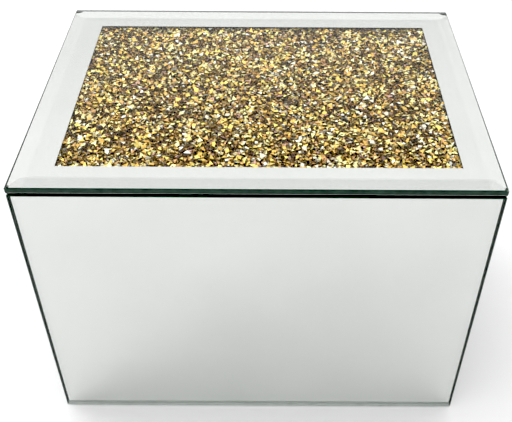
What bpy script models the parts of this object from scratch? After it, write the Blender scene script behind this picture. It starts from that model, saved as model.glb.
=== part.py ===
"""A mirrored vanity trinket box: a rectangular box walled in mirror glass, with a hinged lid of
bevelled glass whose clear window shows a bed of crushed crystal. Metres, +Z up, front towards -Y.
The origin is the centre of the whole object's footprint, hinge barrels included, at the feet."""

from math import cos, pi, radians, sin

import bmesh
import bpy
from mathutils import Matrix, Vector

# Driving dimensions
WIDTH = 0.200
DEPTH = 0.150
HEIGHT = 0.150
LID_GLASS = 0.004
LID_BEVEL_WIDTH = 0.0055
LID_BEVEL_DROP = 0.0014
LID_GAP = 0.0012
FLOOR_CLEARANCE = 0.0008
WALL_GLASS = 0.003
WALL_BOARD = 0.004
WALL_LINING = 0.0015
BASE_BOARD = 0.005
BASE_RECESS = 0.0024
FLOOR_LINER = 0.0045
FELT_SHEET = 0.0006
FOOT_RADIUS = 0.006
FOOT_THICKNESS = 0.002
FOOT_INSET = 0.016
JOIN = 0.0003
ARRIS = 0.0004

# The lid's underside: a plug of rails, crystal bed, backing and lining that drops into the box
PLUG_CLEARANCE = 0.0012
RAIL_WIDTH = 0.0042
RAIL_HEIGHT = 0.0054
CRYSTAL_BED = 0.0028
BACKING_BOARD = 0.0021
LID_LINING = 0.0025

# Hinges: leaves lie flat in the gap under the lid, barrels stand behind the box
HINGE_X = 0.058
HINGE_WIDTH = 0.028
BARREL_RADIUS = 0.0014
BARREL_CLEARANCE = 0.0003
BORE_RADIUS = 0.0007
PIN_RADIUS = 0.0006
PIN_OVERHANG = 0.0004
CENTRE_KNUCKLE = 0.010
KNUCKLE_GAP = 0.0002
LEAF_THICKNESS = 0.0004
LEAF_OFFSET = 0.00005
LUG_REACH = 0.00195
LUG_THICKNESS = 0.0008
LUG_CLEARANCE = 0.00015
LUG_ROOT = 0.0011
STEP = 0.0001
OPEN_ANGLE = 100
BODY_LUG_ANGLE = -60
LUG_CONTACT_ANGLE = 30

# Screws
SCREW_HEAD_RADIUS = 0.00115
SCREW_SHANK_RADIUS = 0.0006
SCREW_LENGTH = 0.0070
SCREW_TIP = 0.0010
LID_SCREW_LENGTH = 0.0044
SCREW_HOLE_CLEARANCE = 0.00015
SCREW_SPACING = 0.018
CROSS_LENGTH = 0.0013
CROSS_WIDTH = 0.0003

BUMPER_RADIUS = 0.0016
BUMPER_INSET_X = 0.022
SEAT_GAP = 0.00015

# Derived places. Y is measured from the middle of the glass box, then moved by BOX_Y.
HINGE_PROUD = BARREL_CLEARANCE + 2 * BARREL_RADIUS
BOX_Y = -HINGE_PROUD / 2
HALF_X = WIDTH / 2
HALF_Y = DEPTH / 2
LID_BOTTOM = HEIGHT - LID_GLASS
BODY_TOP = LID_BOTTOM - LID_GAP
BOARD_X = HALF_X - WALL_GLASS - JOIN
BOARD_Y = HALF_Y - WALL_GLASS - JOIN
LINING_X = BOARD_X - WALL_BOARD - JOIN
LINING_Y = BOARD_Y - WALL_BOARD - JOIN
CAVITY_X = LINING_X - WALL_LINING
CAVITY_Y = LINING_Y - WALL_LINING
BASE_BOTTOM = FLOOR_CLEARANCE + BASE_RECESS
BASE_TOP = BASE_BOTTOM + BASE_BOARD
BOARD_TOP = BODY_TOP - JOIN
PLUG_X = CAVITY_X - PLUG_CLEARANCE
PLUG_Y = CAVITY_Y - PLUG_CLEARANCE
BED_X = PLUG_X - RAIL_WIDTH - JOIN
BED_Y = PLUG_Y - RAIL_WIDTH - JOIN
RAIL_TOP = LID_BOTTOM - JOIN
RAIL_BOTTOM = RAIL_TOP - RAIL_HEIGHT
AXIS = Vector((0, BOX_Y + HALF_Y + BARREL_CLEARANCE + BARREL_RADIUS, BODY_TOP + LID_GAP / 2))
BACK_FACE = -(BARREL_RADIUS + BARREL_CLEARANCE)
SCREW_LINES = (-SCREW_SPACING / 2, SCREW_SPACING / 2)


def clear_scene():
    for old in list(bpy.data.objects):
        bpy.data.objects.remove(old, do_unlink=True)
    for old in list(bpy.data.collections):
        bpy.data.collections.remove(old)


def new_collection(name):
    collection = bpy.data.collections.new(name)
    bpy.context.scene.collection.children.link(collection)
    return collection


def new_material(name, colour, roughness, metallic=0.0):
    material = bpy.data.materials.new(name)
    material.use_nodes = True
    shader = material.node_tree.nodes["Principled BSDF"]
    shader.inputs["Base Color"].default_value = (*colour, 1)
    shader.inputs["Roughness"].default_value = roughness
    shader.inputs["Metallic"].default_value = metallic
    material.diffuse_color = (*colour, 1)
    return material


def link(name, mesh, collection, location=(0, 0, 0)):
    obj = bpy.data.objects.new(name, mesh)
    obj.location = location
    collection.objects.link(obj)
    return obj


def box_mesh(name, size):
    mesh = bpy.data.meshes.new(name)
    shape = bmesh.new()
    bmesh.ops.create_cube(shape, size=1, matrix=Matrix.Diagonal((*size, 1)))
    shape.to_mesh(mesh)
    shape.free()
    return mesh


def box(name, collection, x, y, z):
    """A box between the low and high values given for each axis."""
    low, high = Vector((x[0], y[0], z[0])), Vector((x[1], y[1], z[1]))
    return link(name, box_mesh(name, high - low), collection, (low + high) / 2)


def rod(name, collection, radius, length, centre, axis="Z", top_radius=None, segments=24):
    """A cylinder, or a cone whose second radius is at its far end along the axis."""
    mesh = bpy.data.meshes.new(name)
    shape = bmesh.new()
    turn = {"Z": Matrix.Identity(4), "X": Matrix.Rotation(pi / 2, 4, "Y")}[axis]
    end = radius if top_radius is None else top_radius
    bmesh.ops.create_cone(shape, cap_ends=True, segments=segments, radius1=radius, radius2=end,
                          depth=length, matrix=turn)
    shape.to_mesh(mesh)
    shape.free()
    mesh.shade_smooth()
    mesh.set_sharp_from_angle(angle=radians(40))
    return link(name, mesh, collection, centre)


def soften(obj, width, segments=1, sharper_than=50):
    """Bevels the edges whose faces meet at more than this many degrees."""
    bevel = obj.modifiers.new("Softened edges", "BEVEL")
    bevel.width = width
    bevel.segments = segments
    bevel.limit_method = "ANGLE"
    bevel.angle_limit = radians(sharper_than)
    return obj


def combine(obj, other, operation):
    """Adds a Boolean that joins the other solid to this one, or cuts it away."""
    other.hide_render = True
    other.display_type = "WIRE"
    boolean = obj.modifiers.new(other.name, "BOOLEAN")
    boolean.operation = operation
    boolean.solver = "EXACT"
    boolean.object = other


def finished_mesh(obj, name):
    """The mesh that the object has once its modifiers have run, about the world's origin."""
    bpy.context.view_layer.update()
    graph = bpy.context.evaluated_depsgraph_get()
    mesh = bpy.data.meshes.new_from_object(obj.evaluated_get(graph))
    mesh.transform(obj.matrix_world)
    mesh.name = name
    mesh.shade_smooth()
    mesh.set_sharp_from_angle(angle=radians(40))
    bpy.data.objects.remove(obj, do_unlink=True)
    return mesh


def give(obj, material, parent=None):
    obj.data.materials.clear()
    obj.data.materials.append(material)
    if parent is not None:
        obj.parent = parent
        obj.matrix_parent_inverse = Matrix.Translation(parent.location).inverted()
    return obj


def front_back(half, thickness):
    """The Y spans of a pair of walls whose outer faces are half away from the box's middle."""
    return {"front": (BOX_Y - half, BOX_Y - half + thickness),
            "back": (BOX_Y + half - thickness, BOX_Y + half)}


def left_right(half, thickness):
    return {"left": (-half, -half + thickness), "right": (half - thickness, half)}


def middle(half, centre=0.0):
    return centre - half, centre + half


def make_glass_walls(parts, material):
    """Front and back panes cover the ends of the side panes."""
    height = (FLOOR_CLEARANCE, BODY_TOP)
    for side, span in front_back(HALF_Y, WALL_GLASS).items():
        pane = box(f"mirror_{side}", parts, middle(HALF_X), span, height)
        give(soften(pane, ARRIS), material)
    for side, span in left_right(HALF_X, WALL_GLASS).items():
        pane = box(f"mirror_{side}", parts, span, middle(BOARD_Y, BOX_Y), height)
        give(soften(pane, ARRIS), material)


def screw_hole(name, cutters, x, y, top, depth):
    """A pilot hole that reaches below the screw's tip and starts above the piece's top."""
    radius = SCREW_SHANK_RADIUS + SCREW_HOLE_CLEARANCE
    length = depth + 2 * JOIN
    centre = (x, y, top + JOIN - length / 2)
    return rod(name, cutters, radius, length, centre, segments=16)


def hinge_sides():
    return {"left": -HINGE_X, "right": HINGE_X}


def make_boards(parts, cutters, material, base_material):
    """Fibreboard walls behind the glass. The hinge screws bite into the back one's top edge."""
    height = (BASE_BOTTOM, BOARD_TOP)
    for side, span in front_back(BOARD_Y, WALL_BOARD).items():
        board = give(box(f"wall_board_{side}", parts, middle(BOARD_X), span, height), material)
        if side == "front":
            continue
        for hinge, hinge_x in hinge_sides().items():
            for number, offset in enumerate(SCREW_LINES, 1):
                hole = screw_hole(f"board_hole_{hinge}_{number}", cutters, hinge_x + offset,
                                  sum(span) / 2, BOARD_TOP, SCREW_LENGTH)
                combine(board, hole, "DIFFERENCE")
    for side, span in left_right(BOARD_X, WALL_BOARD).items():
        board = box(f"wall_board_{side}", parts, span, middle(BOARD_Y - WALL_BOARD - JOIN, BOX_Y), height)
        give(board, material)
    base = box("base_board", parts, middle(LINING_X), middle(LINING_Y, BOX_Y), (BASE_BOTTOM, BASE_TOP))
    give(base, base_material)


def make_linings(parts, material):
    height = (BASE_TOP + JOIN, BOARD_TOP)
    for side, span in front_back(LINING_Y, WALL_LINING).items():
        lining = box(f"lining_{side}", parts, middle(LINING_X), span, height)
        give(soften(lining, 0.0004, 2), material)
    for side, span in left_right(LINING_X, WALL_LINING).items():
        lining = box(f"lining_{side}", parts, span, middle(CAVITY_Y - JOIN, BOX_Y), height)
        give(soften(lining, 0.0004, 2), material)
    floor = box("floor_liner", parts, middle(CAVITY_X - JOIN), middle(CAVITY_Y - JOIN, BOX_Y),
                (BASE_TOP + JOIN, BASE_TOP + JOIN + FLOOR_LINER))
    give(soften(floor, 0.0008, 3), material)


def make_underside(parts, material):
    sheet_top = BASE_BOTTOM - JOIN
    sheet_x = BOARD_X - JOIN
    sheet_y = BOARD_Y - JOIN
    sheet = box("felt_underside", parts, middle(sheet_x), middle(sheet_y, BOX_Y),
                (sheet_top - FELT_SHEET, sheet_top))
    give(sheet, material)
    foot_height = min(FOOT_THICKNESS, sheet_top - FELT_SHEET - JOIN)
    for row, y in (("front", BOX_Y - HALF_Y + FOOT_INSET), ("back", BOX_Y + HALF_Y - FOOT_INSET)):
        for side, x in (("left", FOOT_INSET - HALF_X), ("right", HALF_X - FOOT_INSET)):
            foot = rod(f"felt_foot_{row}_{side}", parts, FOOT_RADIUS, foot_height,
                       (x, y, foot_height / 2), segments=40)
            give(soften(foot, 0.0002), material)


def make_bumpers(parts, material):
    """Clear stick-on dots that the lid comes down on, near the front corners of the rim."""
    height = LID_GAP + JOIN - 2 * SEAT_GAP
    y = BOX_Y - BOARD_Y + WALL_BOARD / 2
    for side, x in (("left", BUMPER_INSET_X - HALF_X), ("right", HALF_X - BUMPER_INSET_X)):
        centre = (x, y, BOARD_TOP + SEAT_GAP + height / 2)
        bumper = rod(f"bumper_{side}", parts, BUMPER_RADIUS, height, centre, segments=32)
        give(soften(bumper, 0.0004, 3), material)


def make_lid_glass(parts, material, axis):
    """A pane whose upper edges are ground to a wide, shallow bevel. The ridge where the bevel
    meets the flat is polished off as well as the outer arrises."""
    body = LID_GLASS - LID_BEVEL_DROP
    mesh = box_mesh("lid_glass", (WIDTH, DEPTH, body))
    shape = bmesh.new()
    shape.from_mesh(mesh)
    top = [face for face in shape.faces if face.normal.z > 0.9]
    bmesh.ops.inset_region(shape, faces=top, thickness=LID_BEVEL_WIDTH, depth=LID_BEVEL_DROP,
                           use_even_offset=True)
    shape.to_mesh(mesh)
    shape.free()
    glass = link("lid_glass", mesh, parts, (0, BOX_Y, LID_BOTTOM + body / 2))
    give(soften(glass, ARRIS, sharper_than=10), material, axis)


def make_plug(parts, cutters, materials, axis):
    """The rails, crystal bed, backing and lining that hang under the lid glass."""
    height = (RAIL_BOTTOM, RAIL_TOP)
    for side, span in front_back(PLUG_Y, RAIL_WIDTH).items():
        rail = box(f"lid_rail_{side}", parts, middle(PLUG_X), span, height)
        give(rail, materials["board"], axis)
        if side == "front":
            continue
        for hinge, hinge_x in hinge_sides().items():
            pocket = box(f"leaf_pocket_{hinge}", cutters, middle(HINGE_WIDTH / 2 + JOIN, hinge_x),
                         (span[0] + JOIN, span[1] + JOIN),
                         (AXIS.z + LEAF_OFFSET - SEAT_GAP, RAIL_TOP + JOIN))
            combine(rail, pocket, "DIFFERENCE")
            for number, offset in enumerate(SCREW_LINES, 1):
                hole = screw_hole(f"rail_hole_{hinge}_{number}", cutters, hinge_x + offset,
                                  sum(span) / 2, RAIL_TOP, LID_SCREW_LENGTH)
                combine(rail, hole, "DIFFERENCE")
    for side, span in left_right(PLUG_X, RAIL_WIDTH).items():
        rail = box(f"lid_rail_{side}", parts, span, middle(BED_Y, BOX_Y), height)
        give(rail, materials["board"], axis)
    backing_top = RAIL_BOTTOM + BACKING_BOARD
    backing = box("backing_board", parts, middle(BED_X), middle(BED_Y, BOX_Y), (RAIL_BOTTOM, backing_top))
    give(backing, materials["board"], axis)
    bed_bottom = backing_top + JOIN
    bed = box("crystal_bed", parts, middle(BED_X), middle(BED_Y, BOX_Y), (bed_bottom, bed_bottom + CRYSTAL_BED))
    give(bed, materials["crystal"], axis)
    lining_top = RAIL_BOTTOM - JOIN
    lining = box("lid_lining", parts, middle(PLUG_X), middle(PLUG_Y, BOX_Y), (lining_top - LID_LINING, lining_top))
    give(soften(lining, 0.0004, 2), materials["velvet"], axis)


def radial_block(name, cutters, x_span, inner, outer, thickness, angle):
    """A block that stands out from the hinge axis at an angle above straight back."""
    block = link(name, box_mesh(name, (x_span[1] - x_span[0], outer - inner, thickness)), cutters)
    reach = (inner + outer) / 2
    turn = radians(angle)
    block.location = (sum(x_span) / 2, reach * cos(turn), reach * sin(turn))
    block.rotation_euler = (turn, 0, 0)
    return block


def leaf_mesh(kind, cutters, low_y, below):
    """A leaf with its knuckles and stop lug, about the hinge axis at the origin. The body's leaf
    has the two outer knuckles and the lid's has the middle one."""
    half = HINGE_WIDTH / 2
    split = CENTRE_KNUCKLE / 2
    leaf_z = middle(LEAF_THICKNESS / 2, (-1 if below else 1) * (LEAF_OFFSET + LEAF_THICKNESS / 2))
    tab_end = -(BORE_RADIUS + BARREL_RADIUS) / 2
    leaf = box(kind, cutters, middle(half - STEP), (low_y, tab_end), leaf_z)
    if below:
        notches = (middle(split + STEP),)
        knuckles = ((-half, -split), (split, half))
    else:
        tab = split - KNUCKLE_GAP - STEP
        notches = ((-half - STEP, -tab), (tab, half + STEP))
        knuckles = (middle(split - KNUCKLE_GAP),)
    for number, span in enumerate(notches):
        notch = box(f"{kind}_notch_{number}", cutters, span, (BACK_FACE - KNUCKLE_GAP, JOIN),
                    middle(LEAF_THICKNESS * 2))
        combine(leaf, notch, "DIFFERENCE")
    for number, (start, end) in enumerate(knuckles):
        knuckle = rod(f"{kind}_knuckle_{number}", cutters, BARREL_RADIUS, end - start,
                      ((start + end) / 2, 0, 0), "X")
        combine(leaf, knuckle, "UNION")
    if below:
        lug_end = split + LUG_REACH
        for number, span in enumerate(((-lug_end, -split - STEP), (split + STEP, lug_end))):
            root = radial_block(f"{kind}_lug_root_{number}", cutters, span, LUG_ROOT,
                                LUG_REACH - STEP, LUG_THICKNESS + STEP, BODY_LUG_ANGLE)
            combine(leaf, root, "UNION")
        bridge = radial_block(f"{kind}_lug_bridge", cutters, middle(lug_end - STEP),
                              BARREL_RADIUS + LUG_CLEARANCE, LUG_REACH, LUG_THICKNESS, BODY_LUG_ANGLE)
        combine(leaf, bridge, "UNION")
    else:
        at_rest = BODY_LUG_ANGLE + OPEN_ANGLE + LUG_CONTACT_ANGLE
        lug = radial_block(f"{kind}_lug", cutters, middle(LUG_REACH), LUG_ROOT, LUG_REACH,
                           LUG_THICKNESS, at_rest)
        combine(leaf, lug, "UNION")
    bore = rod(f"{kind}_bore", cutters, BORE_RADIUS, HINGE_WIDTH * 2, (0, 0, 0), "X")
    combine(leaf, bore, "DIFFERENCE")
    return leaf, leaf_z[1]


def countersinks(leaf, kind, cutters, y, top):
    """Cone-shaped holes that the screw heads lie in, a little wider than the heads."""
    over = 2 * LEAF_THICKNESS
    wide = SCREW_HEAD_RADIUS + SCREW_HOLE_CLEARANCE
    for number, x in enumerate(SCREW_LINES, 1):
        cut = rod(f"{kind}_countersink_{number}", cutters, wide - over, over * 2, (x, y, top),
                  top_radius=wide + over)
        combine(leaf, cut, "DIFFERENCE")
        through = rod(f"{kind}_clearance_{number}", cutters, SCREW_SHANK_RADIUS + SCREW_HOLE_CLEARANCE,
                      over * 4, (x, y, top), segments=16)
        combine(leaf, through, "DIFFERENCE")


def screw_mesh(cutters, length):
    """A countersunk screw, its head's flat top at the origin, with a cross cut in it."""
    cone = SCREW_HEAD_RADIUS - SCREW_SHANK_RADIUS
    profile = ((0, 0), (SCREW_HEAD_RADIUS, 0), (SCREW_SHANK_RADIUS, -cone),
               (SCREW_SHANK_RADIUS, SCREW_TIP - length), (0, -length))
    mesh = bpy.data.meshes.new("screw_profile")
    edges = [(start, start + 1) for start in range(len(profile) - 1)]
    mesh.from_pydata([(x, 0, z) for x, z in profile], edges, [])
    screw = link("screw", mesh, cutters)
    turned = screw.modifiers.new("Turned", "SCREW")
    turned.steps = turned.render_steps = 20
    turned.use_merge_vertices = True
    turned.merge_threshold = 0.00001
    for number, size in enumerate(((CROSS_LENGTH, CROSS_WIDTH), (CROSS_WIDTH, CROSS_LENGTH))):
        slot = link(f"cross_{number}", box_mesh("cross", (*size, 2 * CROSS_WIDTH)), cutters)
        combine(screw, slot, "DIFFERENCE")
    return finished_mesh(screw, "screw")


def make_hinges(parts, cutters, material, axis):
    board_middle = BOX_Y + BOARD_Y - WALL_BOARD / 2
    rail_middle = BOX_Y + PLUG_Y - RAIL_WIDTH / 2
    leaves = {}
    for kind, below, low_y, screw_y in (
            ("hinge_leaf_body", True, board_middle - WALL_BOARD / 2 + JOIN, board_middle),
            ("hinge_leaf_lid", False, rail_middle - RAIL_WIDTH / 2 + 2 * JOIN, rail_middle)):
        leaf, top = leaf_mesh(kind, cutters, low_y - AXIS.y, below)
        countersinks(leaf, kind, cutters, screw_y - AXIS.y, top)
        length = SCREW_LENGTH if below else LID_SCREW_LENGTH
        leaves[kind] = (finished_mesh(leaf, kind), below, screw_y, AXIS.z + top,
                        screw_mesh(cutters, length))
    for side, hinge_x in hinge_sides().items():
        for kind, (mesh, below, screw_y, screw_top, screw) in leaves.items():
            parent = None if below else axis
            give(link(f"{kind}_{side}", mesh, parts, (hinge_x, AXIS.y, AXIS.z)), material, parent)
            holder = "body" if below else "lid"
            for number, offset in enumerate(SCREW_LINES, 1):
                spot = (hinge_x + offset, screw_y, screw_top)
                fastener = link(f"screw_{holder}_{side}_{number}", screw, parts, spot)
                give(fastener, material, parent)
        pin = rod(f"hinge_pin_{side}", parts, PIN_RADIUS, HINGE_WIDTH + 2 * PIN_OVERHANG,
                  (hinge_x, AXIS.y, AXIS.z), "X")
        give(soften(pin, PIN_OVERHANG / 2), material)


def main():
    clear_scene()
    parts = new_collection("vanity_trinket_box")
    cutters = new_collection("cutters")
    materials = {
        "mirror": new_material("mirror_glass", (0.86, 0.88, 0.87), 0.03, 1.0),
        "glass": new_material("lid_glass", (0.80, 0.86, 0.83), 0.03),
        "board": new_material("fibreboard", (0.42, 0.30, 0.19), 0.85),
        "wrap": new_material("black_wrap", (0.02, 0.02, 0.022), 0.9),
        "velvet": new_material("black_velvet", (0.015, 0.015, 0.018), 1.0),
        "crystal": new_material("gold_crystal", (0.80, 0.60, 0.22), 0.2, 0.6),
        "felt": new_material("black_felt", (0.02, 0.02, 0.02), 1.0),
        "metal": new_material("nickel", (0.72, 0.71, 0.68), 0.25, 1.0),
        "clear": new_material("clear_silicone", (0.85, 0.88, 0.88), 0.2),
    }
    axis = bpy.data.objects.new("lid_axis", None)
    axis.location = AXIS
    parts.objects.link(axis)
    make_glass_walls(parts, materials["mirror"])
    make_boards(parts, cutters, materials["wrap"], materials["board"])
    make_linings(parts, materials["velvet"])
    make_underside(parts, materials["felt"])
    make_bumpers(parts, materials["clear"])
    make_lid_glass(parts, materials["glass"], axis)
    make_plug(parts, cutters, materials, axis)
    make_hinges(parts, cutters, materials["metal"], axis)


main()
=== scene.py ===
"""Looks of the mirrored vanity trinket box: glass and silvering on its walls, a bevelled lid of
clear glass over crushed gold crystal, velvet inside, and a plain pale studio around it."""

from math import pi, radians

import bmesh
import bpy
import numpy as np
from mathutils import Matrix, Vector
from mathutils.noise import turbulence


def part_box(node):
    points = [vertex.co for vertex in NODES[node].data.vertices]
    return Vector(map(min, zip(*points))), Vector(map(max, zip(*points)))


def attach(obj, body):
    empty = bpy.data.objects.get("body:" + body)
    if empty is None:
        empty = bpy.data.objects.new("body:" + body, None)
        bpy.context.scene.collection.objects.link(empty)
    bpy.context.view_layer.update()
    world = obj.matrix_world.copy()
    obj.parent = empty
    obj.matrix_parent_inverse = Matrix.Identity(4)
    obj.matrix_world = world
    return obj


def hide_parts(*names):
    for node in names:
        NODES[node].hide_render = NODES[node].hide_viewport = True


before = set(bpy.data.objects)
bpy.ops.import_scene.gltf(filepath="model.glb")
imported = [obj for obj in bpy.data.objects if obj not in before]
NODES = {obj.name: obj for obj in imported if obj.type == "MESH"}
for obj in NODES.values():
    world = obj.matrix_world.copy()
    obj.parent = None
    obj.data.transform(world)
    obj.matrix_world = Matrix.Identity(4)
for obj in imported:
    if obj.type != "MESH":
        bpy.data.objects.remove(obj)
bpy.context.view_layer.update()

SIDES = ("front", "back", "left", "right")

# Glass. Light that has turned more often than TRAPPED_TURNS inside it is let out. Normals that
# point further down than these limits belong to edges painted pale, a painted light for the table's light
# on them, and the lid has none.
GLASS_IOR = 1.5
WALL_SHINE = 1.0
LID_SHINE = 0.0
TRAPPED_TURNS = 5.5
WALL_PAINTED_LIGHT_BELOW = -0.6
LID_PAINTED_LIGHT_BELOW = -2.0

# Coatings behind the glass. The clear window in the lid's silver is a little off centre.
COAT = 0.00006
COAT_OFFSET = 0.00004
COAT_INSET = 0.0002
BORDER = 0.0162
WINDOW_SHIFT = Vector((0.0007, -0.0012))

# A crystal shard, for a width of 1
SHARD_TEMPLATES = 36
SHARD_SIDES = (3, 3, 3, 4, 4)
SHARD_TOP_RADIUS = (0.38, 0.47)
SHARD_HEIGHT = (0.26, 0.40)
SHARD_STRETCH = (0.75, 1.2)
SHARD_LEAN = (-0.4, 0.4)
SHARD_RAGGEDNESS = (0.8, 1.2)

# The crystal bed: fine crumbs up to CRUMB_CEILING of its height, bright chips from CHIP_FLOOR up
BED_SEED = 11
BED_MARGIN = 0.0004
BED_HEADROOM = 0.0003
SIZE_SPREAD = 0.30
CRYSTAL_METALLIC = 0.3
CRUMB_SIZE = 0.0015
CRUMB_PITCH = 0.0011
CRUMB_TILT = radians(22)
CRUMB_CEILING = 0.6
# Crumb facets carry painted glints of random strength; this power makes most of them dim.
CRUMB_PAINTED_GLINT_DULLNESS = 1.25
CHIP_SIZE = 0.0027
CHIP_PITCH = 0.0018
CHIP_TILT = radians(14)
CHIP_FLOOR = 0.55
# Painted light and shade on chip facets: sides painted mostly dark as shade, some sides and most tops
# painted bright as if lit.
CHIP_SIDE_PAINTED_SHADE = (0.0, 0.25)
CHIP_PAINTED_LIT_SIDES = 0.25
CHIP_PAINTED_SIDE_LIGHT = (0.5, 0.9)
CHIP_PAINTED_TOP_LIGHT = (0.85, 1.25)
CHIP_TOPS_PAINTED_LIT_IN_DULL_PATCH = 0.75
CHIP_COVER_IN_DULL_PATCH = 0.5
PATCH_SIZE = 0.014
GLUE_GRID = (60, 42)

# Padded velvet linings: PAD_START is the thickness before inflation and PAD_SUNK how much of the
# lower half is pressed flat, both as shares. PAD_CROWN is the simulated share of the profile.
PAD_WEAVE = 0.0035
PAD_START = 0.55
PAD_PRESSURE = 4.0
PAD_FRAMES = 20
PAD_PULL_IN = 0.0009
PAD_SUNK = 0.5
PAD_CROWN = 0.45
PAD_CLEARANCE = 0.0001
PAD_CORNER = 0.003

# Studio. Each gradient goes from one strength to another between two values of a direction's part.
FLOOR_HALF_WIDTH = 4.0
WORLD_FRONT_TO_BACK = (0.57, 1.08, -0.7, 0.4)
WORLD_LOW_TO_HIGH = (0.87, 1.06, 0.40, 0.64)
LIGHT_TARGET = Vector((0, 0, 0.05))
LIGHTS = (
    # name, place, width, power
    ("overhead", (-0.15, -0.25, 1.3), 0.7, 3.7),
    ("key_left", (-1.0, 0.7, 1.1), 0.8, 4),
)

# Camera
SENSOR = 36.0
LENS = 53.77
CAMERA_PLACE = Vector((0.0056, -0.3073, 0.3432))
CAMERA_PITCH = radians(41.72)
CAMERA_YAW = radians(0.13)
CAMERA_ROLL = radians(0.40)
CAMERA_SHIFT_X = -0.0312
BLACK_LEVEL = 0.06
WHITE_LEVEL = 0.89


# ---------------------------------------------------------------- node helpers

def node_material(name):
    material = bpy.data.materials.new(name)
    material.use_nodes = True
    tree = material.node_tree
    return material, tree, tree.nodes["Principled BSDF"], tree.nodes["Material Output"]


def add(tree, kind, **values):
    """A new node. Values name its settings, or its sockets with their spaces as underscores."""
    node = tree.nodes.new(kind)
    for key, value in values.items():
        socket = node.inputs.get(key.replace("_", " "))
        if hasattr(node, key):
            setattr(node, key, value)
        elif socket is not None:
            socket.default_value = value
        else:
            raise KeyError(f"{kind} has no {key}")
    return node


def join(tree, source, target):
    tree.links.new(source, target)


def object_place(tree):
    return add(tree, "ShaderNodeTexCoord").outputs["Object"]


def noise(tree, scale, detail=3.0, roughness=0.5, vector=None, distortion=0.0):
    node = add(tree, "ShaderNodeTexNoise", Scale=scale, Detail=detail, Roughness=roughness,
               Distortion=distortion)
    join(tree, vector or object_place(tree), node.inputs["Vector"])
    return node.outputs["Fac"]


def ramp(tree, factor, stops):
    node = add(tree, "ShaderNodeValToRGB")
    elements = node.color_ramp.elements
    while len(elements) < len(stops):
        elements.new(0.5)
    for element, (place, colour) in zip(elements, stops):
        element.position = place
        element.color = (*colour, 1)
    join(tree, factor, node.inputs["Fac"])
    return node.outputs["Color"]


def spread(tree, factor, low, high, low_in=0.0, high_in=1.0):
    node = add(tree, "ShaderNodeMapRange")
    for key, value in (("From Min", low_in), ("From Max", high_in), ("To Min", low), ("To Max", high)):
        node.inputs[key].default_value = value
    join(tree, factor, node.inputs["Value"])
    return node.outputs["Result"]


def maths(tree, operation, *values):
    """A math node on sockets or plain numbers."""
    node = add(tree, "ShaderNodeMath", operation=operation)
    for value, socket in zip(values, node.inputs):
        if isinstance(value, bpy.types.NodeSocket):
            join(tree, value, socket)
        else:
            socket.default_value = value
    return node.outputs[0]


def mix_colours(tree, factor, first, second, blend="MIX"):
    """Two colours blended by a socket or a plain number."""
    node = add(tree, "ShaderNodeMix", data_type="RGBA", blend_type=blend)
    if isinstance(factor, bpy.types.NodeSocket):
        join(tree, factor, node.inputs["Factor"])
    else:
        node.inputs["Factor"].default_value = factor
    join(tree, first, node.inputs[6])
    join(tree, second, node.inputs[7])
    return node.outputs[2]


def mix_shaders(tree, factor, first, second):
    node = add(tree, "ShaderNodeMixShader")
    for source, target in zip((factor, first, second), node.inputs):
        join(tree, source, target)
    return node.outputs["Shader"]


def bump(tree, shader, height, distance, strength=1.0):
    node = add(tree, "ShaderNodeBump", Strength=strength, Distance=distance)
    join(tree, height, node.inputs["Height"])
    join(tree, node.outputs["Normal"], shader.inputs["Normal"])


# ---------------------------------------------------------------- materials

def ground_edge(tree, face_axis, painted_light_below):
    """How much of a spot is cut edge or arris, by how far its normal lies from face_axis, and the
    ground shader for it: deep green, or painted pale where it faces down, a painted light standing for the
    table's light it catches."""
    local = add(tree, "ShaderNodeVectorTransform", vector_type="NORMAL", convert_from="WORLD",
                convert_to="OBJECT")
    geometry = add(tree, "ShaderNodeNewGeometry")
    join(tree, geometry.outputs["True Normal"], local.inputs["Vector"])
    normal = add(tree, "ShaderNodeSeparateXYZ")
    join(tree, local.outputs["Vector"], normal.inputs["Vector"])
    outward = spread(tree, geometry.outputs["Backfacing"], 1.0, -1.0)
    upward = maths(tree, "MULTIPLY", normal.outputs["Z"], outward)
    # Painted light: down-facing edges are painted pale to stand for the table's light falling on them.
    painted_table_light_mask = spread(tree, upward, 1.0, 0.0, painted_light_below - 0.05, painted_light_below)
    grain = noise(tree, 300.0, 3.0)
    green = ramp(tree, grain, ((0.3, (0.030, 0.048, 0.038)), (0.7, (0.050, 0.086, 0.066))))
    pale = ramp(tree, grain, ((0.3, (0.62, 0.66, 0.64)), (0.7, (0.74, 0.78, 0.76))))
    ground = add(tree, "ShaderNodeBsdfPrincipled", Roughness=0.3)
    join(tree, mix_colours(tree, painted_table_light_mask, green, pale), ground.inputs["Base Color"])
    flatness = maths(tree, "ABSOLUTE", normal.outputs[face_axis])
    return spread(tree, flatness, 1.0, 0.0, 0.75, 0.85), ground.outputs["BSDF"]


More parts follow.
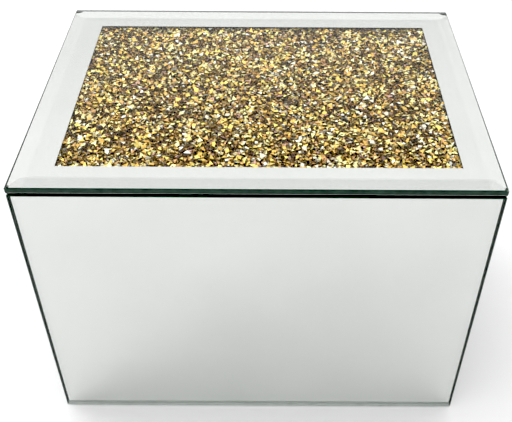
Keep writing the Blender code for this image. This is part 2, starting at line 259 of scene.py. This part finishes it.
def float_glass(name, face_axis, shine, painted_light_below):
    """Clear float glass, faintly green through its thickness, with ground edges. Light trapped
    inside is let straight out after a few turns, a shortcut that keeps the bevels from going black."""
    material, tree, shader, output = node_material(name)
    shader.inputs["Base Color"].default_value = (0.99, 0.995, 0.99, 1)
    shader.inputs["Roughness"].default_value = 0.0
    shader.inputs["IOR"].default_value = GLASS_IOR
    shader.inputs["Specular Tint"].default_value = (shine, shine, shine, 1)
    shader.inputs["Transmission Weight"].default_value = 1.0
    path = add(tree, "ShaderNodeLightPath")
    clear = add(tree, "ShaderNodeBsdfTransparent", Color=(0.95, 0.96, 0.95, 1)).outputs["BSDF"]
    trapped = maths(tree, "GREATER_THAN", path.outputs["Ray Depth"], TRAPPED_TURNS)
    glass = mix_shaders(tree, trapped, shader.outputs["BSDF"], clear)
    edge_share, ground = ground_edge(tree, face_axis, painted_light_below)
    seen = mix_shaders(tree, edge_share, glass, ground)
    surface = mix_shaders(tree, path.outputs["Is Shadow Ray"], seen, clear)
    join(tree, surface, output.inputs["Surface"])
    absorb = add(tree, "ShaderNodeVolumeAbsorption", Color=(0.50, 0.70, 0.60, 1), Density=5.0)
    join(tree, absorb.outputs["Volume"], output.inputs["Volume"])
    return material


def silvering():
    """Bright silver with the faint unevenness of a wet-sprayed coat."""
    material, tree, shader, _ = node_material("silvering")
    uneven = noise(tree, 18.0, 4.0)
    colour = ramp(tree, uneven, ((0.3, (0.69, 0.695, 0.685)), (0.7, (0.73, 0.73, 0.725))))
    join(tree, colour, shader.inputs["Base Color"])
    shader.inputs["Metallic"].default_value = 1.0
    shader.inputs["Roughness"].default_value = 0.03
    return material


def backing_paint():
    """Grey protective paint on the back of the silver, with roller texture."""
    material, tree, shader, _ = node_material("mirror_backing_paint")
    colour = ramp(tree, noise(tree, 90.0, 4.0), ((0.3, (0.07, 0.072, 0.075)), (0.7, (0.11, 0.112, 0.115))))
    join(tree, colour, shader.inputs["Base Color"])
    join(tree, spread(tree, noise(tree, 40.0), 0.45, 0.7), shader.inputs["Roughness"])
    bump(tree, shader, noise(tree, 900.0, 2.0), 0.00003, 0.5)
    return material


def crystal_glitter(name, roughness, gloss, darkest):
    """Mirror-coated crushed glass. Each facet's colour is in the mesh, its kind's tint times a
    painted lightness that stands for the light or shade the facet catches, and darkest says how far the
    specks in it go down."""
    material, tree, shader, _ = node_material(name)
    facet = add(tree, "ShaderNodeAttribute", attribute_name="facet_tint_and_painted_light")
    speck = ramp(tree, noise(tree, 1500.0, 2.0, 0.6), ((0.38, (darkest,) * 3), (0.58, (1, 1, 1))))
    colour = mix_colours(tree, 1.0, facet.outputs["Color"], speck, "MULTIPLY")
    join(tree, colour, shader.inputs["Base Color"])
    shader.inputs["Metallic"].default_value = CRYSTAL_METALLIC
    shader.inputs["Specular IOR Level"].default_value = gloss
    join(tree, colour, shader.inputs["Specular Tint"])
    shader.inputs["Roughness"].default_value = roughness
    return material


def glue_bed():
    """Dark amber adhesive under the chips, kept near black so that it also gives painted shade in the gaps
    between them.
    """
    material, tree, shader, _ = node_material("amber_glue_gap_shade")
    lumps = noise(tree, 600.0, 4.0)
    # Partly painted shade: the glue is darkened to stand for the shadow in the gaps between chips.
    colour = ramp(tree, lumps, ((0.35, (0.02, 0.009, 0.004)), (0.65, (0.13, 0.06, 0.018))))
    join(tree, colour, shader.inputs["Base Color"])
    join(tree, spread(tree, noise(tree, 300.0), 0.3, 0.7), shader.inputs["Roughness"])
    bump(tree, shader, noise(tree, 500.0, 4.0), 0.0003)
    return material


def velvet(name, dark, light):
    """Short pile: fine tufts, patches brushed lighter or darker, and sheen at a grazing look."""
    material, tree, shader, _ = node_material(name)
    brushed = noise(tree, 34.0, 3.0, 0.5, distortion=0.3)
    tufts = noise(tree, 2600.0, 2.0, 0.7)
    shade = maths(tree, "MULTIPLY_ADD", tufts, 0.45, spread(tree, brushed, 0.08, 0.46, 0.3, 0.7))
    colour = ramp(tree, shade, ((0.15, dark), (0.85, light)))
    join(tree, colour, shader.inputs["Base Color"])
    shader.inputs["Roughness"].default_value = 0.95
    shader.inputs["Specular IOR Level"].default_value = 0.15
    shader.inputs["Sheen Weight"].default_value = 0.5
    shader.inputs["Sheen Roughness"].default_value = 0.35
    shader.inputs["Sheen Tint"].default_value = (*light, 1)
    bump(tree, shader, tufts, 0.00025, 0.8)
    return material


def felt():
    """Pressed felt: matted fibres with paler strands."""
    material, tree, shader, _ = node_material("black_felt")
    fibres = noise(tree, 700.0, 6.0, 0.75, distortion=2.5)
    colour = ramp(tree, fibres, ((0.35, (0.012, 0.012, 0.013)), (0.62, (0.05, 0.05, 0.052))))
    join(tree, colour, shader.inputs["Base Color"])
    shader.inputs["Roughness"].default_value = 1.0
    shader.inputs["Specular IOR Level"].default_value = 0.1
    bump(tree, shader, fibres, 0.0004)
    return material


def black_paper():
    """Matt black wrap over fibreboard, with leather-like embossing and rubbed patches."""
    material, tree, shader, _ = node_material("black_wrap_paper")
    rubbed = noise(tree, 60.0, 5.0)
    colour = ramp(tree, rubbed, ((0.3, (0.014, 0.014, 0.015)), (0.75, (0.035, 0.035, 0.037))))
    join(tree, colour, shader.inputs["Base Color"])
    join(tree, spread(tree, noise(tree, 30.0), 0.55, 0.8), shader.inputs["Roughness"])
    grain = add(tree, "ShaderNodeTexVoronoi", Scale=1500.0)
    join(tree, object_place(tree), grain.inputs["Vector"])
    bump(tree, shader, grain.outputs["Distance"], 0.00006, 0.6)
    return material


def fibreboard():
    """Raw fibreboard: warm brown with fine pale fibres."""
    material, tree, shader, _ = node_material("raw_fibreboard")
    fibres = noise(tree, 900.0, 5.0, 0.7)
    colour = ramp(tree, fibres, ((0.3, (0.20, 0.125, 0.065)), (0.7, (0.36, 0.245, 0.14))))
    join(tree, colour, shader.inputs["Base Color"])
    shader.inputs["Roughness"].default_value = 0.9
    bump(tree, shader, fibres, 0.0001, 0.5)
    return material


def nickel():
    """Nickel plate, brushed along the hinge, with small dull spots."""
    material, tree, shader, _ = node_material("brushed_nickel")
    place = add(tree, "ShaderNodeMapping")
    place.inputs["Scale"].default_value = (0.06, 1.0, 1.0)
    join(tree, object_place(tree), place.inputs["Vector"])
    strokes = noise(tree, 3800.0, 3.0, 0.6, vector=place.outputs["Vector"])
    colour = ramp(tree, noise(tree, 400.0, 3.0), ((0.3, (0.60, 0.585, 0.55)), (0.7, (0.75, 0.74, 0.71))))
    join(tree, colour, shader.inputs["Base Color"])
    shader.inputs["Metallic"].default_value = 1.0
    join(tree, spread(tree, strokes, 0.16, 0.38, 0.3, 0.7), shader.inputs["Roughness"])
    bump(tree, shader, strokes, 0.00001, 0.3)
    return material


def silicone():
    """Clear soft silicone, slightly cloudy."""
    material, tree, shader, _ = node_material("clear_silicone")
    colour = ramp(tree, noise(tree, 500.0), ((0.3, (0.82, 0.85, 0.85)), (0.7, (0.92, 0.94, 0.94))))
    join(tree, colour, shader.inputs["Base Color"])
    shader.inputs["Roughness"].default_value = 0.12
    shader.inputs["IOR"].default_value = 1.41
    shader.inputs["Transmission Weight"].default_value = 0.85
    return material


def studio_floor():
    material, tree, shader, _ = node_material("studio_floor")
    shader.inputs["Base Color"].default_value = (0.93, 0.93, 0.93, 1)
    shader.inputs["Roughness"].default_value = 0.9
    shader.inputs["Specular IOR Level"].default_value = 0.0
    return material


# ---------------------------------------------------------------- mesh helpers

def new_object(name, mesh, materials):
    obj = bpy.data.objects.new(name, mesh)
    bpy.context.scene.collection.objects.link(obj)
    for material in materials:
        mesh.materials.append(material)
    return obj


def show_as(material, *nodes):
    for name in nodes:
        mesh = NODES[name].data
        mesh.materials.clear()
        mesh.materials.append(material)


def thin_sheet(name, low, high, facing, materials):
    """A coating between two corners. The faces that look along facing take the first material."""
    mesh = bpy.data.meshes.new(name)
    shape = bmesh.new()
    size = high - low
    place = Matrix.Translation((low + high) / 2) @ Matrix.Diagonal((*size, 1))
    bmesh.ops.create_cube(shape, size=1, matrix=place)
    shape.normal_update()
    for face in shape.faces:
        face.material_index = 0 if face.normal.dot(facing) > 0.5 else 1
    shape.to_mesh(mesh)
    shape.free()
    return new_object(name, mesh, materials)


def make_wall_silver(silver, paint):
    """Silver and its paint lie just inside each wall pane."""
    outward = {"front": Vector((0, -1, 0)), "back": Vector((0, 1, 0)),
               "left": Vector((-1, 0, 0)), "right": Vector((1, 0, 0))}
    for side in SIDES:
        low, high = (corner.copy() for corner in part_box(f"mirror_{side}"))
        out = outward[side]
        along = 1 if out.y else 0
        across = 1 - along
        low.z += COAT_INSET
        high.z -= COAT_INSET
        low[across] += COAT_INSET
        high[across] -= COAT_INSET
        if out[along] < 0:
            low[along] = high[along] + COAT_OFFSET
            high[along] = low[along] + COAT
        else:
            high[along] = low[along] - COAT_OFFSET
            low[along] = high[along] - COAT
        sheet = thin_sheet(f"wall_silver_{side}", low, high, out, (silver, paint))
        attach(sheet, "body")


def make_lid_silver(silver, paint):
    """A silvered border under the lid glass, left clear over the crystals."""
    low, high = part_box("lid_glass")
    top = low.z - COAT_OFFSET
    mesh = bpy.data.meshes.new("lid_silver_border")
    shape = bmesh.new()
    centre = Vector(((low.x + high.x) / 2, (low.y + high.y) / 2, top))
    size = (high.x - low.x - 2 * COAT_INSET, high.y - low.y - 2 * COAT_INSET)
    bmesh.ops.create_grid(shape, x_segments=1, y_segments=1, size=0.5,
                          matrix=Matrix.Translation(centre) @ Matrix.Diagonal((*size, 1, 1)))
    ring = bmesh.ops.inset_region(shape, faces=list(shape.faces), thickness=BORDER - COAT_INSET,
                                  use_even_offset=True, use_boundary=True)
    window = [face for face in shape.faces if face not in ring["faces"]]
    window_corners = {vert for face in window for vert in face.verts}
    for vert in window_corners:
        vert.co.xy += WINDOW_SHIFT
    bmesh.ops.delete(shape, geom=window, context="FACES_ONLY")
    sheet = bmesh.ops.extrude_face_region(shape, geom=list(shape.faces), use_keep_orig=True)
    for vert in (item for item in sheet["geom"] if isinstance(item, bmesh.types.BMVert)):
        vert.co.z -= COAT
    bmesh.ops.recalc_face_normals(shape, faces=list(shape.faces))
    for face in shape.faces:
        face.material_index = 0 if face.normal.z > 0.5 else 1
    shape.to_mesh(mesh)
    shape.free()
    border = new_object("lid_silver_border", mesh, (silver, paint))
    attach(border, "lid")


# ---------------------------------------------------------------- padded linings

def cushion_grid(size):
    """Two layers of cloth joined at their edges, centred on the origin. Returns points and faces."""
    columns, rows = (max(4, round(length / PAD_WEAVE)) for length in size[:2])
    across = np.linspace(-0.5, 0.5, columns + 1) * size[0]
    along = np.linspace(-0.5, 0.5, rows + 1) * size[1]
    x, y = (part.ravel() for part in np.meshgrid(across, along, indexing="ij"))
    bulge = 0.5 * PAD_START * size[2]
    points = np.concatenate([np.column_stack((x, y, np.full_like(x, side))) for side in (bulge, -bulge)])
    number = np.arange((columns + 1) * (rows + 1)).reshape(columns + 1, rows + 1)
    quads = np.stack((number[:-1, :-1], number[1:, :-1], number[1:, 1:], number[:-1, 1:]), -1)
    quads = quads.reshape(-1, 4)
    rim = np.concatenate((number[:-1, 0], number[-1, :-1], number[:0:-1, -1], number[0, :0:-1]))
    onward = np.roll(rim, -1)
    lower = number.size
    sides = np.column_stack((rim + lower, onward + lower, onward, rim))
    return points, np.concatenate((quads, quads[:, ::-1] + lower, sides))


def inflated(points, faces):
    """The cushion's points after a cloth simulation has blown it up."""
    mesh = bpy.data.meshes.new("cushion")
    mesh.from_pydata(points.tolist(), [], faces.tolist())
    cushion = new_object("cushion", mesh, ())
    cloth = cushion.modifiers.new("cloth", "CLOTH")
    cloth.settings.use_pressure = True
    cloth.settings.uniform_pressure_force = PAD_PRESSURE
    cloth.settings.effector_weights.gravity = 0.0
    cloth.settings.quality = 5
    cloth.collision_settings.use_collision = False
    cloth.point_cache.frame_start = 1
    cloth.point_cache.frame_end = PAD_FRAMES
    scene = bpy.context.scene
    for frame_number in range(1, PAD_FRAMES + 1):
        scene.frame_set(frame_number)
    blown = cushion.evaluated_get(bpy.context.evaluated_depsgraph_get())
    result = np.empty(len(points) * 3)
    blown.to_mesh().vertices.foreach_get("co", result)
    blown.to_mesh_clear()
    bpy.data.objects.remove(cushion)
    bpy.data.meshes.remove(mesh)
    scene.frame_set(1)
    return result.reshape(-1, 3)


def make_pad(node, glued_towards, body, material):
    """A velvet pad in a lining's place: crowned on its free side, flat where it is glued."""
    low, high = (np.array(corner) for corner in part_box(node))
    middle, size = (low + high) / 2, high - low - 2 * PAD_CLEARANCE
    thin = int(np.argmin(size))
    wide = [axis for axis in range(3) if axis != thin]
    points, faces = cushion_grid(size[[*wide, thin]])
    blown = inflated(points, faces)
    sag = blown[:, :2] - points[:, :2]
    flat = points[:, :2] + sag * min(1.0, PAD_PULL_IN / abs(sag).max())
    flat *= size[wide] / np.ptp(flat, axis=0)
    crown = blown[:, 2] / abs(blown[:, 2]).max()
    from_edge = np.clip((0.5 * size[wide] - abs(points[:, :2])).min(1) / PAD_CORNER, 0, 1)
    rounded_slab = np.sign(crown) * np.sqrt(1 - (1 - from_edge) ** 2)
    height = crown * PAD_CROWN + rounded_slab * (1 - PAD_CROWN)
    raised = np.clip((height + PAD_SUNK) / (1 + PAD_SUNK), 0, 1) - 0.5
    placed = np.empty_like(points)
    placed[:, wide] = flat
    placed[:, thin] = -glued_towards * raised * size[thin]
    mesh = bpy.data.meshes.new(f"{node}_pad")
    mesh.from_pydata((placed + middle).tolist(), [], faces.tolist())
    shape = bmesh.new()
    shape.from_mesh(mesh)
    bmesh.ops.recalc_face_normals(shape, faces=list(shape.faces))
    shape.to_mesh(mesh)
    shape.free()
    mesh.shade_smooth()
    pad = new_object(f"{node}_pad", mesh, (material,))
    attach(pad, body)
    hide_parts(node)


# ---------------------------------------------------------------- crushed crystal

def shard_template(random):
    """A shard of crushed glass, one unit wide: a low pyramid cut off by a leaning top facet.
    Returns its points, its triangles, each triangle's facet number and the top facet's number."""
    shape = bmesh.new()
    bmesh.ops.create_cone(shape, cap_ends=True, segments=int(random.choice(SHARD_SIDES)), radius1=0.5,
                          radius2=random.uniform(*SHARD_TOP_RADIUS), depth=random.uniform(*SHARD_HEIGHT))
    stretch = random.uniform(*SHARD_STRETCH, 2)
    lean = random.uniform(*SHARD_LEAN, 2)
    for vert in shape.verts:
        top = vert.co.z > 0
        vert.co.x *= stretch[0] * random.uniform(*SHARD_RAGGEDNESS)
        vert.co.y *= stretch[1] * random.uniform(*SHARD_RAGGEDNESS)
        if top:
            vert.co.z += lean[0] * vert.co.x + lean[1] * vert.co.y
    number = shape.faces.layers.int.new("facet")
    for index, face in enumerate(shape.faces):
        face[number] = index
    shape.normal_update()
    bmesh.ops.triangulate(shape, faces=list(shape.faces))
    shape.verts.index_update()
    points = np.array([vert.co for vert in shape.verts])
    faces = np.array([[vert.index for vert in face.verts] for face in shape.faces])
    facets = np.array([face[number] for face in shape.faces])
    top_facet = max(shape.faces, key=lambda face: face.normal.z)[number]
    shape.free()
    return points, faces, facets, top_facet


def turned(axis, angle):
    return np.array(Matrix.Rotation(angle, 3, axis))


CHIP_KINDS = (
    # name, share among chips, share among crumbs, facet colour, roughness, gloss, darkest speck
    ("pale", 0.32, 0.14, (1.00, 0.82, 0.40), 0.15, 0.4, 0.85),
    ("lemon", 0.16, 0.08, (1.00, 0.75, 0.22), 0.15, 0.4, 0.85),
    ("gold", 0.22, 0.18, (1.00, 0.62, 0.17), 0.15, 0.4, 0.80),
    ("champagne", 0.14, 0.10, (1.00, 0.92, 0.74), 0.10, 0.5, 0.90),
    ("amber", 0.08, 0.20, (0.96, 0.56, 0.22), 0.25, 0.2, 0.45),
    ("bronze", 0.04, 0.18, (0.76, 0.44, 0.20), 0.35, 0.2, 0.35),
    ("smoke", 0.04, 0.12, (0.62, 0.38, 0.30), 0.35, 0.2, 0.35),
)


def share_in_patch(dull_share, patch):
    """A share that grows from dull_share in a dull patch to 1 in a bright one."""
    return dull_share + (1 - dull_share) * patch


def crumb_painted_glints(random, facets, top_facet, patch):
    """Crumbs get painted glints: each facet is painted a random lightness that stands for the light it
    catches.
    """
    return random.uniform(0.0, 1.0, facets.max() + 1) ** CRUMB_PAINTED_GLINT_DULLNESS


def chip_painted_light(random, facets, top_facet, patch):
    """Painted light and shade: side facets are mostly painted dark, and most top facets are painted bright
    as if catching the light.
    """
    painted_lightness = random.uniform(*CHIP_SIDE_PAINTED_SHADE, facets.max() + 1)
    lit = random.random(len(painted_lightness)) < CHIP_PAINTED_LIT_SIDES
    painted_lightness[lit] = random.uniform(*CHIP_PAINTED_SIDE_LIGHT, lit.sum())
    if random.random() < share_in_patch(CHIP_TOPS_PAINTED_LIT_IN_DULL_PATCH, patch):
        painted_lightness[top_facet] = random.uniform(*CHIP_PAINTED_TOP_LIGHT)
    return painted_lightness


def spots(random, low, high, pitch):
    """A point in every cell of a grid of this pitch, jittered within the cell."""
    columns = int((high.x - low.x) / pitch)
    rows = int((high.y - low.y) / pitch)
    for column, row in np.ndindex(columns, rows):
        yield np.array((low.x + (column + random.uniform()) * (high.x - low.x) / columns,
                        low.y + (row + random.uniform()) * (high.y - low.y) / rows, 0.0))


def brightness_patch(spot):
    """0 where the bed is dull and fine, 1 where chips crowd together and more of their tops are painted
    lit.
    """
    return float(np.clip(0.5 + 0.9 * turbulence(Vector(spot) / PATCH_SIZE, 3, False), 0, 1))


def make_crystals(materials):
    """One mesh for each kind of chip. Every facet has a painted lightness of its kind's colour, standing
    for the light or shade it catches.
    """
    random = np.random.default_rng(BED_SEED)
    templates = [shard_template(random) for _ in range(SHARD_TEMPLATES)]
    low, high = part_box("crystal_bed")
    piles = [([], [], []) for _ in CHIP_KINDS]
    counts = [0] * len(CHIP_KINDS)

    def lay(spot, patch, shares, mean_size, lean, lowest, highest, painted_light_of):
        """Adds one chip between two shares of the bed's height."""
        kind = random.choice(len(CHIP_KINDS), p=shares / shares.sum())
        points, faces, facets, top_facet = templates[random.integers(len(templates))]
        tilt = random.normal(0, lean, 2)
        turn = turned("X", tilt[0]) @ turned("Y", tilt[1]) @ turned("Z", random.uniform(0, 2 * pi))
        chip = (points * mean_size * (1 + SIZE_SPREAD * random.uniform(-1, 1))) @ turn.T
        reach = abs(chip).max(0)
        bottom = low.z + BED_MARGIN + reach[2]
        top = high.z - BED_HEADROOM - reach[2]
        spot[2] = bottom + (top - bottom) * random.uniform(lowest, highest)
        spot[:2] = np.clip(spot[:2], np.array(low[:2]) + reach[:2], np.array(high[:2]) - reach[:2])
        # Painted light and shade: each facet's colour is scaled by a painted lightness.
        painted_lightness = painted_light_of(random, facets, top_facet, patch)
        verts, polys, colours = piles[kind]
        verts.append(chip + spot)
        polys.append(faces + counts[kind])
        counts[kind] += len(points)
        colours.append(np.clip(painted_lightness[facets][:, None] * np.array(CHIP_KINDS[kind][3]), 0, 1))

    crumb_shares = np.array([kind[2] for kind in CHIP_KINDS])
    for spot in spots(random, low, high, CRUMB_PITCH):
        lay(spot, 0.0, crumb_shares, CRUMB_SIZE, CRUMB_TILT, 0, CRUMB_CEILING, crumb_painted_glints)
    chip_shares = np.array([kind[1] for kind in CHIP_KINDS])
    for spot in spots(random, low, high, CHIP_PITCH):
        patch = brightness_patch(spot)
        if random.random() < share_in_patch(CHIP_COVER_IN_DULL_PATCH, patch):
            lay(spot, patch, chip_shares, CHIP_SIZE, CHIP_TILT, CHIP_FLOOR, 1, chip_painted_light)

    pieces = []
    for (name, *_), pile in zip(CHIP_KINDS, piles):
        verts, polys, colours = (np.concatenate(part) for part in pile)
        mesh = bpy.data.meshes.new(f"crystal_chips_{name}")
        mesh.from_pydata(verts.tolist(), [], polys.tolist())
        facet = mesh.attributes.new("facet_tint_and_painted_light", "FLOAT_COLOR", "CORNER")
        corner = np.ones((len(polys) * 3, 4))
        corner[:, :3] = np.repeat(colours, 3, axis=0)
        facet.data.foreach_set("color", corner.ravel())
        mesh.update()
        piece = new_object(f"crystal_chips_{name}", mesh, (materials[name],))
        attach(piece, "lid")
        pieces.append(piece)
    return pieces


def make_glue(material):
    """An uneven glue bed under the chips."""
    low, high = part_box("crystal_bed")
    mesh = bpy.data.meshes.new("crystal_glue_bed")
    shape = bmesh.new()
    place = Matrix.Translation(((low.x + high.x) / 2, (low.y + high.y) / 2, low.z + BED_MARGIN))
    bmesh.ops.create_grid(shape, x_segments=GLUE_GRID[0], y_segments=GLUE_GRID[1], size=0.5,
                          matrix=place @ Matrix.Diagonal((high.x - low.x, high.y - low.y, 1, 1)))
    random = np.random.default_rng(BED_SEED + 1)
    for vert in shape.verts:
        vert.co.z += random.uniform(-0.5, 0.5) * BED_MARGIN
    shape.to_mesh(mesh)
    shape.free()
    glue = new_object("crystal_glue_bed", mesh, (material,))
    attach(glue, "lid")
    return glue


# ---------------------------------------------------------------- studio

def make_floor():
    mesh = bpy.data.meshes.new("studio_floor")
    shape = bmesh.new()
    bmesh.ops.create_grid(shape, x_segments=1, y_segments=1, size=FLOOR_HALF_WIDTH)
    shape.to_mesh(mesh)
    shape.free()
    floor = new_object("studio_floor", mesh, (studio_floor(),))


def make_world():
    """Soft white surroundings, brightest above and behind the box."""
    world = bpy.data.worlds.new("studio")
    bpy.context.scene.world = world
    world.use_nodes = True
    tree = world.node_tree
    background = tree.nodes["Background"]
    look = add(tree, "ShaderNodeTexCoord")
    parts = add(tree, "ShaderNodeSeparateXYZ")
    join(tree, look.outputs["Generated"], parts.inputs["Vector"])
    depth = spread(tree, parts.outputs["Y"], *WORLD_FRONT_TO_BACK)
    height = spread(tree, parts.outputs["Z"], *WORLD_LOW_TO_HIGH)
    path = add(tree, "ShaderNodeLightPath")
    seen = add(tree, "ShaderNodeMix")
    join(tree, path.outputs["Is Camera Ray"], seen.inputs["Factor"])
    join(tree, maths(tree, "MULTIPLY", depth, height), seen.inputs["A"])
    seen.inputs["B"].default_value = 1.0
    join(tree, seen.outputs["Result"], background.inputs["Strength"])
    background.inputs["Color"].default_value = (1, 1, 1, 1)


def make_light(name, place, width, power):
    data = bpy.data.lights.new(name, "AREA")
    data.shape = "RECTANGLE"
    data.size = data.size_y = width
    data.energy = power
    light = bpy.data.objects.new(name, data)
    light.location = place
    light.rotation_euler = (LIGHT_TARGET - Vector(place)).to_track_quat("-Z", "Y").to_euler()
    bpy.context.scene.collection.objects.link(light)


def make_camera():
    data = bpy.data.cameras.new("camera")
    data.sensor_width = SENSOR
    data.lens = LENS
    data.shift_x = CAMERA_SHIFT_X
    data.clip_start = 0.01
    camera = bpy.data.objects.new("camera", data)
    turn = Matrix.Rotation(-CAMERA_YAW, 4, "Z") @ Matrix.Rotation(pi / 2 - CAMERA_PITCH, 4, "X")
    camera.matrix_world = Matrix.Translation(CAMERA_PLACE) @ turn @ Matrix.Rotation(CAMERA_ROLL, 4, "Z")
    bpy.context.scene.collection.objects.link(camera)
    bpy.context.scene.camera = camera


def main():
    make_camera()
    make_world()
    make_floor()
    for light in LIGHTS:
        make_light(*light)
    view = bpy.context.scene.view_settings
    view.view_transform = "Standard"
    view.use_curve_mapping = True
    view.curve_mapping.black_level = (BLACK_LEVEL,) * 3
    view.curve_mapping.white_level = (WHITE_LEVEL,) * 3

    lid_glass = float_glass("lid_float_glass", "Z", LID_SHINE, LID_PAINTED_LIGHT_BELOW)
    long_glass = float_glass("wall_float_glass_long", "Y", WALL_SHINE, WALL_PAINTED_LIGHT_BELOW)
    side_glass = float_glass("wall_float_glass_side", "X", WALL_SHINE, WALL_PAINTED_LIGHT_BELOW)
    silver = silvering()
    paint = backing_paint()
    pile = velvet("charcoal_velvet", (0.10, 0.10, 0.105), (0.34, 0.335, 0.345))
    board = fibreboard()
    paper = black_paper()
    metal = nickel()
    wool = felt()
    show_as(lid_glass, "lid_glass")
    show_as(long_glass, "mirror_front", "mirror_back")
    show_as(side_glass, "mirror_left", "mirror_right")
    show_as(board, "base_board", "backing_board")
    show_as(paper, *(f"wall_board_{side}" for side in SIDES), *(f"lid_rail_{side}" for side in SIDES))
    show_as(wool, *(name for name in NODES if name.startswith("felt_")))
    show_as(metal, *(name for name in NODES if name.startswith(("hinge_", "screw_"))))
    show_as(silicone(), "bumper_left", "bumper_right")

    make_pad("floor_liner", -1, "body", pile)
    make_pad("lid_lining", 1, "lid", pile)
    for side, towards in (("front", -1), ("back", 1), ("left", -1), ("right", 1)):
        make_pad(f"lining_{side}", towards, "body", pile)

    make_wall_silver(silver, paint)
    make_lid_silver(silver, paint)
    glitter = {name: crystal_glitter(f"crystal_{name}", *finish) for name, _, _, _, *finish in CHIP_KINDS}
    chips = make_crystals(glitter)
    glue = make_glue(glue_bed())
    for piece in (*chips, glue):
        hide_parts("crystal_bed")


main()
